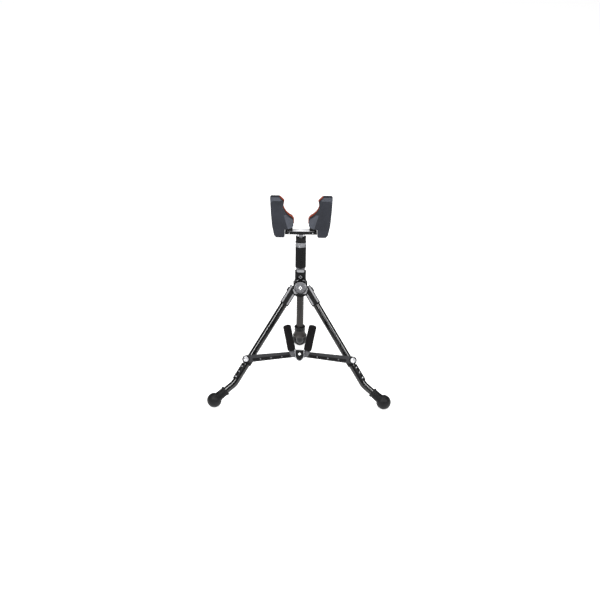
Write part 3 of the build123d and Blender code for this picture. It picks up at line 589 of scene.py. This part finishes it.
# ball feet: a moulded ball with a seam, worn flat where it stands, and a ribbed boot
feet = dict(ball=16.1, bootLow=10.6, bootHigh=9.9, rim=11.0, rimLow=30.4, rimHigh=34.0, ribs=5,
            bootStart=9.0, ribStart=13.5, ribSpan=16.0)
legFar = {  # the ball's centre and the bend above it, for each leg
    "left": (framePoint(-186.1, -248.37, 0), framePoint(-142.47, -211.43, 0)),
    "right": (framePoint(186.1, -248.37, 0), framePoint(142.47, -211.43, 0)),
    "rear": (Vector((0, 0.160, 0.0156)), Vector((0, 0.109966, 0.033))),
}
for side, (centre, bendSpot) in legFar.items():
    along = (bendSpot - centre).normalized()
    bm = bmesh.new()
    facing = along.to_track_quat("Z", "Y").to_matrix().to_4x4()
    bmesh.ops.create_uvsphere(bm, u_segments=56, v_segments=36, radius=feet["ball"] * mm,
                              matrix=Matrix.Translation(centre) @ facing)
    # the seam where the mould's halves met
    turned(bm, [(feet["ball"] - 0.6, -0.5), (feet["ball"] + 0.02, -0.25), (feet["ball"] + 0.02, 0.25),
                (feet["ball"] - 0.6, 0.5)], centre, along, 56)
    start, wide = feet["bootStart"], feet["bootLow"]
    profile = [(8.4, start), (wide, start), (wide, start + 4)]
    for rib in range(feet["ribs"]):
        share = rib / feet["ribs"]
        radius = feet["bootLow"] * (1 - share) + feet["bootHigh"] * share
        at = feet["ribStart"] + share * feet["ribSpan"]
        profile += [(radius - 0.7, at), (radius - 0.7, at + 1.2), (radius, at + 1.5), (radius, at + 2.7)]
    profile += [(feet["rim"], feet["rimLow"]), (feet["rim"], feet["rimHigh"]), (tubeFit, feet["rimHigh"]),
                (tubeFit, 26)]
    turned(bm, profile, centre, along, 56)
    bmesh.ops.remove_doubles(bm, verts=bm.verts, dist=1e-6)
    cut = bmesh.ops.bisect_plane(bm, geom=allOf(bm), plane_co=Vector((0, 0, 0)),
                                 plane_no=Vector((0, 0, -1)), clear_outer=True)
    fillCut(bm, cut)
    easeEdges(finishPiece(bm, "ballFoot_" + side, "foot_" + side, smoothAngle=35), 0.3)
print("feet done")

# strut pivots: bright pressed caps with a dimple
cap = dict(along=190.6, out=6.9, seat=17.8, radius=6.0, proud=2.0)
for side, sign in (("left", -1), ("right", 1)):
    reach, turn = legs["offset"] + cap["out"], legs["turn"]
    spot = framePoint(sign * (legs["hinge"] + reach * math.cos(turn) + cap["along"] * math.sin(turn)),
                      reach * math.sin(turn) - cap["along"] * math.cos(turn), 0)
    bm = bmesh.new()
    seat, radius, proud = cap["seat"], cap["radius"], cap["proud"]
    turned(bm, [(0, seat + proud - 0.7), (1.6, seat + proud - 0.6), (2.2, seat + proud - 0.1),
                (radius - 1, seat + proud), (radius, seat + proud - 0.8), (radius, seat), (4, seat),
                (4, seat - 6.9), (0, seat - 6.9)], spot, towards, 40)
    easeEdges(finishPiece(bm, "pivotCap_" + side, "pivot_cap_" + side), 0.2)

# ribs across the outside of each guard, above the leg's bend
guard = dict(low=204.0, high=240.0, ribs=8, rise=0.9, width=1.4, shell=9.7, sweep=110, twist=20)
for side, sign in (("left", -1), ("right", 1)):
    legOut, legDown, centre = legFrame(sign)
    bm = bmesh.new()
    for rib in range(guard["ribs"]):
        at = guard["low"] + (guard["high"] - guard["low"]) * rib / (guard["ribs"] - 1)
        spot = centre + legDown * at * mm
        first = Matrix.Rotation(math.radians(-guard["sweep"] / 2 - guard["twist"] * sign), 3, legDown) @ legOut
        block = bmesh.ops.create_grid(bm, x_segments=1, y_segments=1, size=0.5, matrix=Matrix((
            (*(legDown * guard["width"] * mm), 0), (*(first * guard["rise"] * mm), 0),
            (*(legDown.cross(first)), 0), (0, 0, 0, 1))).transposed())
        bmesh.ops.translate(bm, vec=spot + first * guard["shell"] * mm, verts=block["verts"])
        faces = list({face for vert in block["verts"] for face in vert.link_faces})
        bmesh.ops.spin(bm, geom=block["verts"] + faces, cent=spot, axis=legDown,
                       angle=math.radians(guard["sweep"]), steps=14)
    finishPiece(bm, "guardRibs_" + side, "leg_guard_" + side, "blackNylon", replaced=False)
print("pivots and guards done")

# a bright zinc bead under the lower hub's front, standing in as a painted highlight along its edge
bead = dict(half=9.4, top=139.0, knee=151.5, foot=159.6, footHalf=3.6, out=33.0, wire=1.5)
curve = bpy.data.curves.new("lowerHubHighlightBead", "CURVE")
curve.dimensions = "3D"
curve.bevel_depth = bead["wire"] * mm
curve.bevel_resolution = 3
spline = curve.splines.new("NURBS")
route = [(-bead["half"], -bead["top"]), (-bead["half"], -bead["knee"]), (-bead["footHalf"], -bead["foot"]),
         (bead["footHalf"], -bead["foot"]), (bead["half"], -bead["knee"]), (bead["half"], -bead["top"])]
spline.points.add(len(route) - 1)
for point, (x, up) in zip(spline.points, route):
    point.co = (*framePoint(x, up, bead["out"]), 1)
spline.order_u = 3
spline.use_endpoint_u = True
drawn = bpy.data.objects.new("lowerHubHighlightBead", curve)
bpy.context.scene.collection.objects.link(drawn)
bpy.context.view_layer.update()
bm = bmesh.new()
bm.from_mesh(drawn.evaluated_get(bpy.context.evaluated_depsgraph_get()).to_mesh())
bpy.data.objects.remove(drawn)
bmesh.ops.holes_fill(bm, edges=bm.edges)
finishPiece(bm, "lowerHubHighlightRim", "lower_hub_block", "zincSteel", replaced=False)

# a plain lozenge outline on the clamp's front
mark = dict(z=262.5, radius=4.4, wide=1.2, front=12.0, rise=0.25)
bm = bmesh.new()
clampFront = Vector((0, columnY - mark["front"] * mm, mark["z"] * mm))
lozenge = bmesh.ops.create_circle(bm, cap_ends=True, segments=4, radius=mark["radius"] * mm,
                                  matrix=Matrix.Translation(clampFront) @ Matrix.Rotation(math.pi / 2, 4, "X"))
face = lozenge["verts"][0].link_faces[0]
bmesh.ops.inset_region(bm, faces=[face], thickness=mark["wide"] * mm, use_boundary=True,
                       use_even_offset=True)
bmesh.ops.delete(bm, geom=[face], context="FACES")
raised = bmesh.ops.extrude_face_region(bm, geom=bm.faces[:])
raisedVerts = [item for item in raised["geom"] if isinstance(item, bmesh.types.BMVert)]
bmesh.ops.translate(bm, vec=(0, -mark["rise"] * mm, 0), verts=raisedVerts)
finishPiece(bm, "clampMark", "column_clamp", "paleNylon", replaced=False)
print("small marks done")

# studio: pale floor, soft light, and a long lens that looks square on to the A-frame
disc = sum((Vector(corner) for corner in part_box("hub_disc")), Vector()) / 2
studio = dict(distance=8.0, lens=218.7, down=0.0262, side=-0.0004, roll=0.7, floor=9.0,
              floorGlow=0.62, world=0.16)
eye = bpy.data.cameras.new("studioCamera")
eye.lens = studio["lens"]
eye.sensor_width = 36.0
eye.clip_end = 60
camera = bpy.data.objects.new("studioCamera", eye)
bpy.context.scene.collection.objects.link(camera)
aim = disc - upFrame * studio["down"] + across * studio["side"]
camera.location = aim + towards * studio["distance"]
turn = (-towards).to_track_quat("-Z", "Y").to_matrix().to_4x4()
camera.rotation_euler = (turn @ Matrix.Rotation(math.radians(studio["roll"]), 4, "Z")).to_euler()
bpy.context.scene.camera = camera

bm = bmesh.new()
bmesh.ops.create_grid(bm, x_segments=1, y_segments=1, size=studio["floor"])
mesh = bpy.data.meshes.new("studioFloor")
bm.to_mesh(mesh)
bm.free()
floor = bpy.data.objects.new("studioFloor", mesh)
bpy.context.scene.collection.objects.link(floor)
# the paper glows a little so that it reads plain white
paper, tree, shader = startMaterial("floorPaper")
shader.inputs["Base Color"].default_value = linearColour("f4f4f4")
shader.inputs["Roughness"].default_value = 0.9
shader.inputs["Specular IOR Level"].default_value = 0.1
shader.inputs["Emission Color"].default_value = (1, 1, 1, 1)
shader.inputs["Emission Strength"].default_value = studio["floorGlow"]
mesh.materials.append(paper)

world = bpy.data.worlds.new("studioWorld")
world.use_nodes = True
world.node_tree.nodes["Background"].inputs["Color"].default_value = (1, 1, 1, 1)
world.node_tree.nodes["Background"].inputs["Strength"].default_value = studio["world"]
bpy.context.scene.world = world
bpy.context.scene.view_settings.view_transform = "Standard"


def softbox(name, place, size, watts, target=(0, 0, 0.22)):
    lamp = bpy.data.lights.new(name, "AREA")
    lamp.shape = "RECTANGLE"
    lamp.size, lamp.size_y = size
    lamp.energy = watts
    box = bpy.data.objects.new(name, lamp)
    bpy.context.scene.collection.objects.link(box)
    box.location = place
    box.rotation_euler = (Vector(place) - Vector(target)).to_track_quat("Z", "Y").to_euler()


softbox("keyBox", (-1.3, -1.5, 1.9), (0.35, 1.6), 50)
softbox("fillBox", (1.5, -1.3, 1.5), (0.3, 1.5), 27)
softbox("lineBox", (0.25, -2.1, 2.0), (0.28, 1.4), 25)
softbox("topBox", (0.0, 0.3, 2.4), (1.4, 0.8), 20)
print("studio ready")
